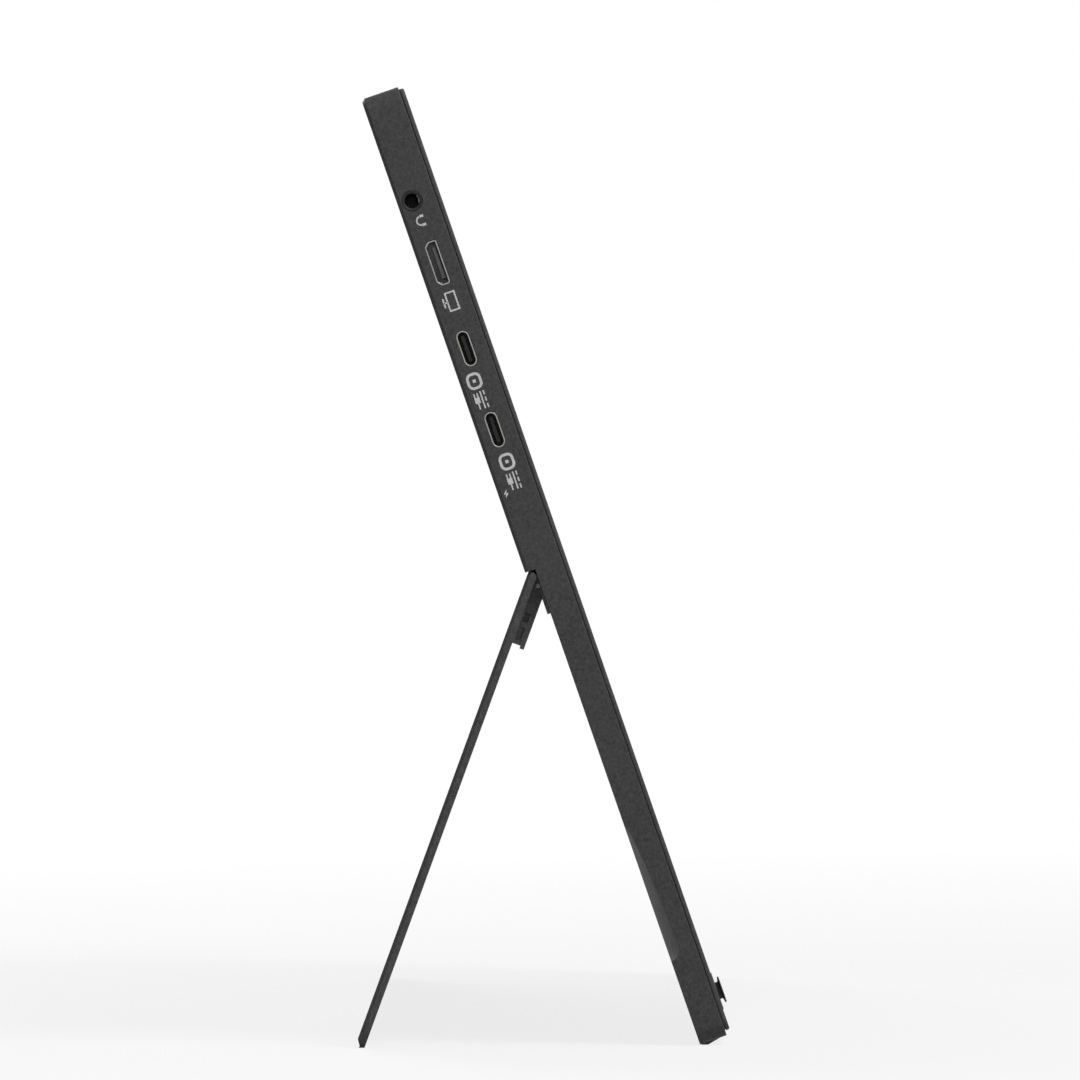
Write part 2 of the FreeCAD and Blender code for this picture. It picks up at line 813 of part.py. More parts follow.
def stick_plunger():
    outline = [(0, plunger_floor_front), (plunger_inner, plunger_floor_front), (plunger_inner, plunger_front)]
    outline += [(plunger_radius, plunger_front), (plunger_radius, plunger_rear), (0, plunger_rear)]
    cup = spun_y(outline, stick_x, stick_height)
    return cup.cut(trunnion_across(trunnion_radius + running_fit, plunger_radius + overrun))


def stick_switch():
    half = switch_side / 2
    z0, z1 = stick_height - half, stick_height + half
    block = box(stick_x - half, stick_x + half, switch_front, stick_board_front, z0, z1)
    return block.cut(rod_y(well_radius, switch_front - overrun, well_floor, stick_x, stick_height))


def stick_board():
    half_x = stick_board_width / 2
    half_z = stick_board_height / 2
    board = box(stick_x - half_x, stick_x + half_x, stick_board_front, stick_board_rear,
                stick_height - half_z, stick_height + half_z)
    y0, y1 = stick_board_front - overrun, stick_board_rear + overrun
    holes = [rod_y(board_screw_radius, y0, y1, x, stick_height) for x in stick_screw_places()]
    plug = box(stick_x - stick_plug_width / 2, stick_x + stick_plug_width / 2, stick_board_rear,
               lower_wall_inner - flex_thickness, stick_height - stick_plug_height / 2,
               stick_height + stick_plug_height / 2)
    return join([board.cut(holes), plug])


def stick_flex():
    # flat cable up the inside of the casing to the main board
    half = stick_flex_width / 2
    return box(stick_x - half, stick_x + half, lower_wall_inner - flex_thickness, lower_wall_inner,
               stick_height - stick_plug_height / 2, board_bottom + stick_plug_height)


# Stand and hinges, drawn folded shut
def stand_slope(way):
    # cuts the outer face down along a side edge
    x0 = way * (stand_half - stand_edge_width)
    x1 = way * (stand_half + overrun)
    fall = stand_edge_depth + overrun * stand_edge_depth / stand_edge_width
    section = ((x0, 0), (x1, -fall), (x1, overrun), (x0, overrun))
    corners = [point(x, y, -stand_tail - overrun) for x, y in section]
    face = Part.Face(Part.makePolygon(corners + corners[:1]))
    return face.extrude(point(0, 0, stand_length + stand_tail + 2 * overrun))


def stand_plate():
    free_end = -stand_tail
    outline = [(0, pivot_z), (0, free_end + stand_bevel_length), (-stand_bevel_depth, free_end)]
    outline += [(-stand_thickness, free_end), (-stand_thickness, pivot_z)]
    plate = prism_x(outline, -stand_half, stand_half)
    top = stand_length + stand_corner
    rounded = slab(-stand_half, stand_half, free_end, top, -stand_thickness, 0, stand_corner)
    plate = plate.common(rounded)
    plate = join([plate, rod_x(barrel_radius, -stand_half, stand_half, pivot_y, pivot_z)])
    cuts = [stand_slope(way) for _, way in sides]
    under = -stand_thickness - overrun
    reach = hinge_half + moving_gap
    for _, centre in hinge_centres():
        cuts.append(box(centre - reach, centre + reach, under, overrun, pivot_z - neck_length, top))
    for _, x0, x1 in bracket_places():
        cuts.append(box(x0 - moving_gap, x1 + moving_gap, under, bracket_top + moving_gap,
                        pivot_z - bracket_length - moving_gap, pivot_z))
        cuts.append(box(x0 - moving_gap, x1 + moving_gap, under, pivot_y + moving_gap,
                        pivot_z - gusset_length - moving_gap, pivot_z))
    for x, z in leaf_screw_places():
        cuts.append(rod_y(hinge_screw_radius, under, -stand_thickness + hinge_screw_bite, x, z))
    cuts += foot_blocks(under, -stand_thickness + stand_foot_width, -overrun, stand_foot_top)
    return plate.cut(cuts)


def hinge_leaf(centre):
    inner = pivot_y - barrel_radius
    outline = [(inner + neck_thickness, pivot_z), (inner + neck_thickness, pivot_z - neck_length)]
    outline += [(inner, pivot_z - neck_length), (inner, pivot_z - leaf_length)]
    outline += [(leaf_inner, pivot_z - leaf_length)]
    outline += [(leaf_inner, cover_start), (inner - neck_thickness, pivot_z - neck_length), (inner, pivot_z)]
    left, right = centre - leaf_width / 2, centre + leaf_width / 2
    body = prism_x(outline, left, right)
    barrel = rod_x(barrel_radius, left, right, pivot_y, pivot_z)
    bore = rod_x(pin_radius + running_fit, left - overrun, right + overrun, pivot_y, pivot_z)
    y0, y1 = leaf_inner - overrun, inner + overrun
    holes = [rod_y(hinge_screw_radius, y0, y1, x, z) for x, z in leaf_screw_places()]
    low = pivot_z - leaf_length + leaf_hollow_rise
    y0, y1 = leaf_inner + leaf_hollow_wall, inner - leaf_hollow_wall
    for length in (leaf_hollow_long, leaf_hollow_short):
        high = low + length
        holes.append(box(left - overrun, left + leaf_hollow_depth, y0, y1, low, high))
        holes.append(box(right - leaf_hollow_depth, right + overrun, y0, y1, low, high))
        low = high + leaf_post
    return join([body, barrel]).cut([bore] + holes)


def hinge_cover(centre):
    half = leaf_width / 2
    plate = box(centre - half, centre + half, cover_inner, leaf_inner, cover_end, cover_start)
    holes = []
    for x, z in leaf_screw_places():
        holes.append(rod_y(hinge_screw_radius, cover_inner - overrun, leaf_inner + overrun, x, z))
        holes.append(rod_y(hinge_head_radius, cover_inner - overrun, cover_inner + hinge_head_height, x, z))
    return plate.cut(holes)


def hinge_bracket(x0, x1):
    knuckle = rod_x(barrel_radius, x0, x1, pivot_y, pivot_z)
    ear = box(x0, x1, recess_floor, bracket_top, pivot_z - bracket_length, pivot_z)
    shoulder = pivot_z - gusset_length + pivot_y - bracket_top
    outline = [(recess_floor, pivot_z), (pivot_y, pivot_z), (pivot_y, shoulder)]
    outline += [(bracket_top, pivot_z - gusset_length), (recess_floor, pivot_z - gusset_length)]
    gusset = prism_x(outline, x0, x1)
    x = (x0 + x1) / 2
    top = bracket_top + overrun
    holes = [rod_x(pin_radius, x0 - overrun, x1 + overrun, pivot_y, pivot_z)]
    holes.append(rod_x(rivet_radius, x0 - overrun, x1 + overrun, rivet_y, rivet_z))
    holes.append(rod_y(hinge_screw_radius, recess_floor - overrun, top, x, bracket_screw_z))
    holes.append(rod_y(hinge_head_radius, bracket_top - hinge_head_height, top, x, bracket_screw_z))
    return join([knuckle, ear, gusset]).cut(holes)


def bracket_rivets():
    rivets = [rod_x(rivet_radius, x0, x1, rivet_y, rivet_z) for _, x0, x1 in bracket_places()]
    return Part.makeCompound(rivets)


def hinge_pin(centre):
    return rod_x(pin_radius, centre - hinge_half, centre + hinge_half, pivot_y, pivot_z)


def hinge_screw(length, x, y, z, way):
    return screw(hinge_screw_radius, length, hinge_head_radius, hinge_head_height, x, y, z, way)


def board_screw(thickness, x, y_front, z):
    # head standing on the front of a board, shank through it into a boss
    length = board_head_height + thickness + board_screw_bite
    y = y_front - board_head_height
    return screw(board_screw_radius, length, board_head_radius, board_head_height, x, y, z, 1)


def leaf_screws():
    length = leaf_thickness + cover_thickness + hinge_screw_bite
    return Part.makeCompound([hinge_screw(length, x, cover_inner, z, 1) for x, z in leaf_screw_places()])


def bracket_screws():
    middles = [(x0 + x1) / 2 for _, x0, x1 in bracket_places()]
    return Part.makeCompound([hinge_screw(bracket_screw_length, x, bracket_top, bracket_screw_z, -1)
                              for x in middles])


def board_screws():
    return Part.makeCompound([board_screw(board_thickness, x, board_front, z)
                              for x in board_screw_x for z in board_screw_z])


def stick_screws():
    return Part.makeCompound([board_screw(stick_board_thickness, x, stick_board_front, stick_height)
                              for x in stick_screw_places()])


# Placing
turn_open = FreeCAD.Rotation(across, stand_opening)
turn_back = FreeCAD.Rotation(across, -body_lean)
pivot = point(0, pivot_y, pivot_z)


def leaned(shape):
    return shape.transformed(FreeCAD.Placement(point(0, 0, -ground_level), turn_back).toMatrix(), True)


def opened(shape):
    shift = pivot - turn_open.multVec(pivot)
    return leaned(shape.transformed(FreeCAD.Placement(shift, turn_open).toMatrix(), True))


def trimmed(shape):
    # a foot worn flat where it meets the table
    bounds = shape.BoundBox
    below = box(bounds.XMin - overrun, bounds.XMax + overrun, bounds.YMin - overrun, bounds.YMax + overrun,
                bounds.ZMin - overrun, 0)
    return shape.cut(below)


def monitor():
    nodes = {}
    nodes["rear_housing"] = leaned(rear_housing())
    nodes["front_bezel"] = leaned(front_bezel())
    nodes["panel_tape"] = leaned(panel_tape())
    nodes["display_glass"] = leaned(display_glass())
    nodes["diffuser_sheet"] = leaned(light_sheet(glass_rear, diffuser_rear, light_bottom))
    nodes["light_guide"] = leaned(light_sheet(diffuser_rear, guide_rear, guide_bottom))
    nodes["light_bar"] = leaned(light_bar())
    nodes["reflector_sheet"] = leaned(light_sheet(guide_rear, reflector_rear, light_bottom))
    nodes["panel_chassis"] = leaned(panel_chassis())
    nodes["panel_driver_board"] = leaned(driver_board())
    nodes["display_flex"] = leaned(display_flex())
    nodes["main_board"] = leaned(main_board())
    nodes["board_chips"] = leaned(board_chips())
    nodes["shield_can"] = leaned(shield_can())
    nodes["board_screws"] = leaned(board_screws())
    for name, z in usb_places:
        nodes[name + "_power_socket_shell"] = leaned(usb_shell(z))
        nodes[name + "_power_socket_tongue"] = leaned(usb_tongue(z))
    nodes["video_socket_shell"] = leaned(video_shell())
    nodes["video_socket_tongue"] = leaned(video_tongue())
    nodes["audio_jack"] = leaned(audio_jack())
    for name, way in sides:
        nodes[name + "_speaker"] = leaned(speaker(way * speaker_offset))
    nodes["speaker_leads"] = leaned(speaker_leads())
    nodes["menu_stick_cap"] = leaned(stick_cap())
    nodes["menu_stick"] = leaned(menu_stick())
    nodes["stick_rocker"] = leaned(stick_rocker())
    nodes["stick_plunger"] = leaned(stick_plunger())
    nodes["stick_switch"] = leaned(stick_switch())
    nodes["stick_board"] = leaned(stick_board())
    nodes["stick_board_screws"] = leaned(stick_screws())
    nodes["stick_flex"] = leaned(stick_flex())
    nodes["body_foot_strips"] = Part.makeCompound([trimmed(leaned(strip)) for strip in body_feet()])
    for name, x0, x1 in bracket_places():
        nodes[name] = leaned(hinge_bracket(x0, x1))
    for name, centre in hinge_centres():
        nodes[name + "_hinge_pin"] = leaned(hinge_pin(centre))
        nodes[name + "_hinge_leaf"] = opened(hinge_leaf(centre))
        nodes[name + "_hinge_cover"] = opened(hinge_cover(centre))
    nodes["bracket_rivets"] = leaned(bracket_rivets())
    nodes["bracket_screws"] = leaned(bracket_screws())
    nodes["leaf_screws"] = opened(leaf_screws())
    nodes["stand_plate"] = opened(stand_plate())
    stand_feet = foot_blocks(-stand_thickness, -stand_thickness + stand_foot_width, stand_foot_low,
                             stand_foot_top)
    nodes["stand_foot_strips"] = Part.makeCompound([trimmed(opened(strip)) for strip in stand_feet])
    return nodes


def centring(nodes):
    # the origin is the middle of the base
    bounds = [shape.optimalBoundingBox(False, False) for shape in nodes.values()]
    low = min(item.YMin for item in bounds)
    high = max(item.YMax for item in bounds)
    return point(0, -(low + high) / 2, 0)


nodes = monitor()
offset = centring(nodes)
os.makedirs("parts", exist_ok=True)
for name, shape in nodes.items():
    placed = shape.copy()
    placed.translate(offset)
    placed.exportStep("parts/" + name + ".step")
    print(name, len(placed.Solids), "solids,", round(placed.Volume, 2), "mm3, valid", placed.isValid())
print("stand opening", round(stand_opening, 3), "degrees, body lean", body_lean, "degrees")
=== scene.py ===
import bpy
import bmesh
import json
import math
from mathutils import Matrix, Vector


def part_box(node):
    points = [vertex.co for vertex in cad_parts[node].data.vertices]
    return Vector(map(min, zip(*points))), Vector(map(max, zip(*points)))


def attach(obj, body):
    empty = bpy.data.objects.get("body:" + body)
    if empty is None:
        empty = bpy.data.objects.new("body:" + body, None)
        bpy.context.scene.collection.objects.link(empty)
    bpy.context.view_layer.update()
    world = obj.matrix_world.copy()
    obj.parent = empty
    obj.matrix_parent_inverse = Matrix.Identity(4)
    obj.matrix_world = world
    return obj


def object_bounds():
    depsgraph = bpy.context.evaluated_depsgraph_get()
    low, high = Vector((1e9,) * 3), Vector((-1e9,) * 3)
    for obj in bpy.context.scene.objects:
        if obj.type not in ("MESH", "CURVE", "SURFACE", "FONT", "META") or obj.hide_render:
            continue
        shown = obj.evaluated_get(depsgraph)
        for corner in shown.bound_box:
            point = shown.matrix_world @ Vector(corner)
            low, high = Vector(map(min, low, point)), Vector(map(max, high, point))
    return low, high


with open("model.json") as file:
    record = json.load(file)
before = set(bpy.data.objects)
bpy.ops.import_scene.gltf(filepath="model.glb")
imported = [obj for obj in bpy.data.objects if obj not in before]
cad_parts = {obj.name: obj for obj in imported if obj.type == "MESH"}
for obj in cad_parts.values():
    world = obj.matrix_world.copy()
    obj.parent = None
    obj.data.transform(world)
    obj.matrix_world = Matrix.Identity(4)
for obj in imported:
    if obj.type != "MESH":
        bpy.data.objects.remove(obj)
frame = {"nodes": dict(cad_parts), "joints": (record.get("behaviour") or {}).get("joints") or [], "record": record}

cadLow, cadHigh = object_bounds()
nodes = frame["nodes"]
mm = 0.001
print("frame loaded:", len(nodes), "nodes")


# leaning body: corner of the rear face and the two directions that run along it
sideEdge = cadLow.x
upAxis = [j for j in frame["joints"] if j["name"] == "stick_tilt_left_right"][0]["axis"]
bodyUp = Vector(upAxis).normalized()
bodyBack = Vector((0, bodyUp.z, -bodyUp.y))
jackMount = [m for m in frame["record"]["mounts"] if m["name"] == "audio_jack"][0]
jackDrop, jackDepth = 0.0277, 0.00365
jackMouth = Vector((sideEdge, jackMount["pos_m"][1], jackMount["pos_m"][2]))
rearTop = jackMouth + bodyUp * jackDrop + bodyBack * jackDepth


# node helpers
def newMaterial(name):
    mat = bpy.data.materials.new(name)
    mat.use_nodes = True
    tree = mat.node_tree
    shader = tree.nodes["Principled BSDF"]
    return mat, tree, shader


def add(tree, kind, **values):
    node = tree.nodes.new(kind)
    for key, value in values.items():
        setattr(node, key, value)
    return node


def plug(tree, start, end):
    tree.links.new(start, end)


def coords(tree, stretch=(1, 1, 1)):
    source = add(tree, "ShaderNodeTexCoord")
    mapping = add(tree, "ShaderNodeMapping")
    mapping.inputs["Scale"].default_value = stretch
    plug(tree, source.outputs["Object"], mapping.inputs["Vector"])
    return mapping.outputs["Vector"]


def noise(tree, where, scale, detail=3.0, rough=0.55):
    node = add(tree, "ShaderNodeTexNoise")
    node.inputs["Scale"].default_value = scale
    node.inputs["Detail"].default_value = detail
    node.inputs["Roughness"].default_value = rough
    plug(tree, where, node.inputs["Vector"])
    return node.outputs["Fac"]


def cells(tree, where, scale):
    node = add(tree, "ShaderNodeTexVoronoi")
    node.inputs["Scale"].default_value = scale
    plug(tree, where, node.inputs["Vector"])
    return node.outputs["Distance"]


def span(tree, value, low, high, outLow, outHigh):
    node = add(tree, "ShaderNodeMapRange")
    node.inputs["From Min"].default_value = low
    node.inputs["From Max"].default_value = high
    node.inputs["To Min"].default_value = outLow
    node.inputs["To Max"].default_value = outHigh
    plug(tree, value, node.inputs["Value"])
    return node.outputs["Result"]


def math2(tree, how, a, b):
    node = add(tree, "ShaderNodeMath", operation=how)
    for socket, value in zip(node.inputs, (a, b)):
        if isinstance(value, (int, float)):
            socket.default_value = value
        else:
            plug(tree, value, socket)
    return node.outputs[0]


def blend(tree, factor, first, second):
    node = add(tree, "ShaderNodeMix", data_type="RGBA")
    plug(tree, factor, node.inputs["Factor"])
    for socket, value in ((node.inputs["A"], first), (node.inputs["B"], second)):
        if isinstance(value, tuple):
            socket.default_value = (*value, 1)
        else:
            plug(tree, value, socket)
    return node.outputs["Result"]


def roundedEdges(tree, radius):
    # softened normal, and a mask that is high along outer edges
    bevel = add(tree, "ShaderNodeBevel", samples=6)
    bevel.inputs["Radius"].default_value = radius
    flat = add(tree, "ShaderNodeNewGeometry")
    dot = add(tree, "ShaderNodeVectorMath", operation="DOT_PRODUCT")
    plug(tree, bevel.outputs["Normal"], dot.inputs[0])
    plug(tree, flat.outputs["True Normal"], dot.inputs[1])
    mask = span(tree, dot.outputs["Value"], 0.995, 0.8, 0.0, 1.0)
    return bevel.outputs["Normal"], mask


def bump(tree, height, strength, depth, normal=None):
    node = add(tree, "ShaderNodeBump")
    node.inputs["Strength"].default_value = strength
    node.inputs["Distance"].default_value = depth
    plug(tree, height, node.inputs["Height"])
    if normal is not None:
        plug(tree, normal, node.inputs["Normal"])
    return node.outputs["Normal"]


# high inside the finger scoops, where the casing gets a painted sheen: a lighter colour
scoop = {"drop": (0.187, 0.226), "depth": (0.0024, 0.0062), "sink": (0.00002, 0.0001), "deepest": 0.0015,
         "sheenShare": 0.6}


def within(tree, value, low, high):
    above = math2(tree, "GREATER_THAN", value, low)
    return math2(tree, "MULTIPLY", above, math2(tree, "LESS_THAN", value, high))


def distance(tree, place, start, way):
    shifted = add(tree, "ShaderNodeVectorMath", operation="SUBTRACT")
    plug(tree, place, shifted.inputs[0])
    shifted.inputs[1].default_value = start
    dot = add(tree, "ShaderNodeVectorMath", operation="DOT_PRODUCT")
    plug(tree, shifted.outputs["Vector"], dot.inputs[0])
    dot.inputs[1].default_value = way
    return dot.outputs["Value"]


def scoopMask(tree):
    place = add(tree, "ShaderNodeTexCoord").outputs["Object"]
    drop = distance(tree, place, rearTop, -bodyUp)
    depth = distance(tree, place, rearTop, -bodyBack)
    out = math2(tree, "ABSOLUTE", distance(tree, place, (0, 0, 0), (1, 0, 0)), 0)
    sink = math2(tree, "SUBTRACT", -sideEdge, out)
    mask = math2(tree, "MULTIPLY", within(tree, drop, *scoop["drop"]), within(tree, depth, *scoop["depth"]))
    mask = math2(tree, "MULTIPLY", mask, math2(tree, "LESS_THAN", sink, scoop["deepest"]))
    return math2(tree, "MULTIPLY", mask, span(tree, sink, *scoop["sink"], 0.0, 1.0))


# fine-grained dark finish of casing, bezel and stand
def grainFinish(name, tone):
    mat, tree, shader = newMaterial(name)
    where = coords(tree)
    grain = noise(tree, where, tone["grain"], 4.0, 0.65)
    fleck = span(tree, cells(tree, where, tone["fleck"]), 0.05, 0.32, 1.0, 0.0)
    keep = span(tree, noise(tree, where, tone["fleck"] * 0.45, 1.0), 0.52, 0.66, 0.0, 1.0)
    cloud = noise(tree, where, tone["cloud"], 2.0)
    normal, edge = roundedEdges(tree, tone["edgeRadius"])
    # outer edges get a lighter colour: partly wear and partly a painted highlight along the edges
    edgeWearAndSheen = math2(tree, "MULTIPLY", edge, span(tree, cloud, 0.3, 0.7, 0.45, 1.0))
    mottle = noise(tree, where, tone["mottle"], 2.0, 0.6)
    mixed = math2(tree, "ADD", math2(tree, "MULTIPLY", grain, 0.5), math2(tree, "MULTIPLY", mottle, 0.5))
    shade = blend(tree, span(tree, mixed, 0.36, 0.64, 0.0, 1.0), tone["dark"], tone["light"])
    shade = blend(tree, span(tree, cloud, 0.25, 0.75, 0.0, tone["cloudAmount"]), shade, tone["light"])
    # painted sheen: lighter colour inside the finger scoops
    if "scoopSheen" in tone:
        shade = blend(tree, math2(tree, "MULTIPLY", scoopMask(tree), scoop["sheenShare"]), shade, tone["scoopSheen"])
    flecked = math2(tree, "MULTIPLY", math2(tree, "MULTIPLY", fleck, keep), tone["fleckAmount"])
    shade = blend(tree, flecked, shade, tone["fleckColour"])
    shade = blend(tree, math2(tree, "MULTIPLY", edgeWearAndSheen, tone["edgeWearAndSheen"]), shade, tone["edgeWearSheenColour"])
    plug(tree, shade, shader.inputs["Base Color"])
    rough = span(tree, grain, 0.3, 0.7, tone["rough"] - 0.06, tone["rough"] + 0.06)
    plug(tree, rough, shader.inputs["Roughness"])
    shader.inputs["Specular IOR Level"].default_value = tone["gloss"]
    height = math2(tree, "ADD", grain, math2(tree, "MULTIPLY", fleck, 0.5))
    plug(tree, bump(tree, height, tone["bump"], 0.00005, normal), shader.inputs["Normal"])
    return mat


casingTone = {
    "dark": (0.028, 0.028, 0.029), "light": (0.062, 0.062, 0.063), "fleckColour": (0.115, 0.115, 0.115),
    "edgeWearSheenColour": (0.12, 0.12, 0.12), "grain": 2300, "mottle": 1100, "fleck": 1500, "cloud": 60,
    "cloudAmount": 0.3, "fleckAmount": 0.55, "edgeWearAndSheen": 0.2, "edgeRadius": 0.00018, "rough": 0.6, "gloss": 0.12,
    "bump": 0.35,
}
# painted light: the bezel is a little lighter than the casing, for the light on its rounded front edge
bezelLitTone = dict(casingTone, dark=(0.036, 0.036, 0.037), light=(0.074, 0.074, 0.075), fleckAmount=0.3,
                 bump=0.25)
standTone = dict(casingTone, dark=(0.042, 0.042, 0.043), light=(0.084, 0.084, 0.085), grain=2600, edgeWearAndSheen=0.04,
                 gloss=0.005)
# casing finish with a painted sheen inside the finger scoops
scoopedTone = dict(casingTone, scoopSheen=(0.14, 0.14, 0.141))


# bare and plated metals
def metalFinish(name, tone):
    mat, tree, shader = newMaterial(name)
    where = coords(tree, tone["stretch"])
    streak = noise(tree, where, tone["streak"], 4.0, 0.6)
    cloud = noise(tree, coords(tree), tone["cloud"], 2.0)
    normal, edge = roundedEdges(tree, tone["edgeRadius"])
    shade = blend(tree, span(tree, streak, 0.3, 0.7, 0.0, 1.0), tone["dark"], tone["light"])
    shade = blend(tree, span(tree, cloud, 0.45, 0.8, 0.0, 0.4), shade, tone["stain"])
    # lighter colour along the outer edges: partly wear and partly a painted highlight
    shade = blend(tree, math2(tree, "MULTIPLY", edge, tone["edgeWearAndSheen"]), shade, tone["edgeWearSheenColour"])
    plug(tree, shade, shader.inputs["Base Color"])
    shader.inputs["Metallic"].default_value = tone["metal"]
    shader.inputs["Specular IOR Level"].default_value = tone["gloss"]
    rough = span(tree, streak, 0.3, 0.7, tone["rough"] - 0.07, tone["rough"] + 0.07)
    plug(tree, rough, shader.inputs["Roughness"])
    plug(tree, bump(tree, streak, tone["bump"], 0.00002, normal), shader.inputs["Normal"])
    return mat


nickelTone = {
    "dark": (0.27, 0.265, 0.257), "light": (0.38, 0.375, 0.365), "stain": (0.2, 0.19, 0.18),
    "edgeWearSheenColour": (0.7, 0.7, 0.69), "streak": 900, "stretch": (0.15, 1, 1), "cloud": 400, "edgeWearAndSheen": 0.3,
    "edgeRadius": 0.00008, "metal": 1.0, "gloss": 0.5, "rough": 0.32, "bump": 0.15,
}
sheetTone = dict(nickelTone, dark=(0.42, 0.42, 0.43), light=(0.56, 0.56, 0.57), rough=0.4, streak=500)
pinTone = dict(nickelTone, dark=(0.36, 0.36, 0.37), light=(0.5, 0.5, 0.51), rough=0.3)
goldTone = dict(nickelTone, dark=(0.3, 0.24, 0.14), light=(0.42, 0.34, 0.2), stain=(0.26, 0.2, 0.1),
                rough=0.4)
springTone = dict(nickelTone, dark=(0.6, 0.6, 0.59), light=(0.72, 0.72, 0.71), rough=0.22)
blackSteelTone = dict(
    nickelTone, dark=(0.03, 0.03, 0.031), light=(0.05, 0.05, 0.051), stain=(0.062, 0.06, 0.057),
    edgeWearSheenColour=(0.2, 0.2, 0.2), edgeWearAndSheen=0.3, metal=0.0, gloss=0.3, rough=0.45, stretch=(1, 1, 1), streak=1400,
    edgeRadius=0.00015, bump=0.2)
# painted light: the hinge steel is made far lighter than the dark steel it is, to lift it out of the shade between
# stand and body
hingeShadeLiftTone = dict(blackSteelTone, dark=(0.16, 0.16, 0.161), light=(0.25, 0.25, 0.251),
                 stain=(0.24, 0.235, 0.23), edgeWearSheenColour=(0.4, 0.4, 0.4))


# plain mouldings, rubber, boards and films
def mouldedFinish(name, tone):
    mat, tree, shader = newMaterial(name)
    where = coords(tree)
    grain = noise(tree, where, tone["grain"], 3.0, 0.6)
    cloud = noise(tree, where, tone["cloud"], 2.0)
    normal, edge = roundedEdges(tree, tone["edgeRadius"])
    shade = blend(tree, span(tree, cloud, 0.3, 0.7, 0.0, 1.0), tone["dark"], tone["light"])
    shade = blend(tree, span(tree, grain, 0.5, 0.75, 0.0, 0.5), shade, tone["speck"])
    # lighter colour along the outer edges: partly wear and partly a painted highlight
    shade = blend(tree, math2(tree, "MULTIPLY", edge, tone["edgeWearAndSheen"]), shade, tone["edgeWearSheenColour"])
    plug(tree, shade, shader.inputs["Base Color"])
    shader.inputs["Specular IOR Level"].default_value = tone["gloss"]
    rough = span(tree, grain, 0.3, 0.7, tone["rough"] - 0.05, tone["rough"] + 0.08)
    plug(tree, rough, shader.inputs["Roughness"])
    plug(tree, bump(tree, grain, tone["bump"], 0.00003, normal), shader.inputs["Normal"])
    return mat


blackTone = {
    "dark": (0.012, 0.012, 0.013), "light": (0.022, 0.022, 0.023), "speck": (0.035, 0.035, 0.036),
    "edgeWearSheenColour": (0.09, 0.09, 0.09), "grain": 2500, "cloud": 300, "edgeWearAndSheen": 0.35, "edgeRadius": 0.00012,
    "rough": 0.48, "gloss": 0.2, "bump": 0.2,
}
# the stick cap's edges are lightened strongly: partly wear and partly a painted highlight on its rims
stickTone = dict(blackTone, dark=(0.018, 0.018, 0.019), light=(0.03, 0.03, 0.031),
                 edgeWearSheenColour=(0.2, 0.2, 0.2), edgeWearAndSheen=0.6, rough=0.42)
# painted light: the video socket tongue is made mid grey, lighter than its black plastic, to show inside the
# shaded socket
tongueShadeLiftTone = dict(blackTone, dark=(0.1, 0.1, 0.102), light=(0.14, 0.14, 0.142), speck=(0.17, 0.17, 0.172))
# painted light: the foot rubber is made lighter than the dark rubber it is, to lift the strips out of their shade
# under body and stand
rubberShadeLiftTone = dict(blackTone, dark=(0.06, 0.06, 0.06), light=(0.085, 0.085, 0.085), speck=(0.1, 0.1, 0.1),
                  rough=0.82, bump=0.5)
wireTone = dict(rubberShadeLiftTone, dark=(0.02, 0.02, 0.02), light=(0.035, 0.035, 0.035), rough=0.6)
filmTone = dict(blackTone, dark=(0.7, 0.71, 0.73), light=(0.78, 0.79, 0.8), speck=(0.84, 0.84, 0.85),
                rough=0.4, gloss=0.5)
boardTone = dict(blackTone, dark=(0.012, 0.05, 0.03), light=(0.02, 0.075, 0.045), speck=(0.08, 0.12, 0.07),
                 grain=900, rough=0.35, gloss=0.5)
flexTone = dict(blackTone, dark=(0.3, 0.15, 0.04), light=(0.4, 0.22, 0.06), speck=(0.5, 0.3, 0.1), rough=0.3,
                gloss=0.5)
inkTone = dict(blackTone, dark=(0.44, 0.44, 0.44), light=(0.54, 0.54, 0.54), speck=(0.36, 0.36, 0.36),
               edgeWearSheenColour=(0.6, 0.6, 0.6), edgeWearAndSheen=0.1, edgeRadius=0.00002, grain=5200, rough=0.6, bump=0.1)


# dark anti-glare glass over the panel
screenTone = {"dark": (0.0065, 0.0068, 0.0075), "light": (0.0095, 0.0098, 0.0105), "matt": 4200, "cloud": 18,
              "rough": (0.2, 0.3), "gloss": 0.06, "coat": 0.05, "coatRough": 0.16, "bump": 0.12}


def screenFinish(name, tone):
    mat, tree, shader = newMaterial(name)
    where = coords(tree)
    matt = noise(tree, where, tone["matt"], 2.0, 0.7)
    cloud = noise(tree, where, tone["cloud"], 2.0)
    shade = blend(tree, span(tree, cloud, 0.3, 0.7, 0.0, 1.0), tone["dark"], tone["light"])
    plug(tree, shade, shader.inputs["Base Color"])
    plug(tree, span(tree, matt, 0.3, 0.7, *tone["rough"]), shader.inputs["Roughness"])
    plug(tree, bump(tree, matt, tone["bump"], 0.00001), shader.inputs["Normal"])
    shader.inputs["Specular IOR Level"].default_value = tone["gloss"]
    shader.inputs["Coat Weight"].default_value = tone["coat"]
    shader.inputs["Coat Roughness"].default_value = tone["coatRough"]
    return mat


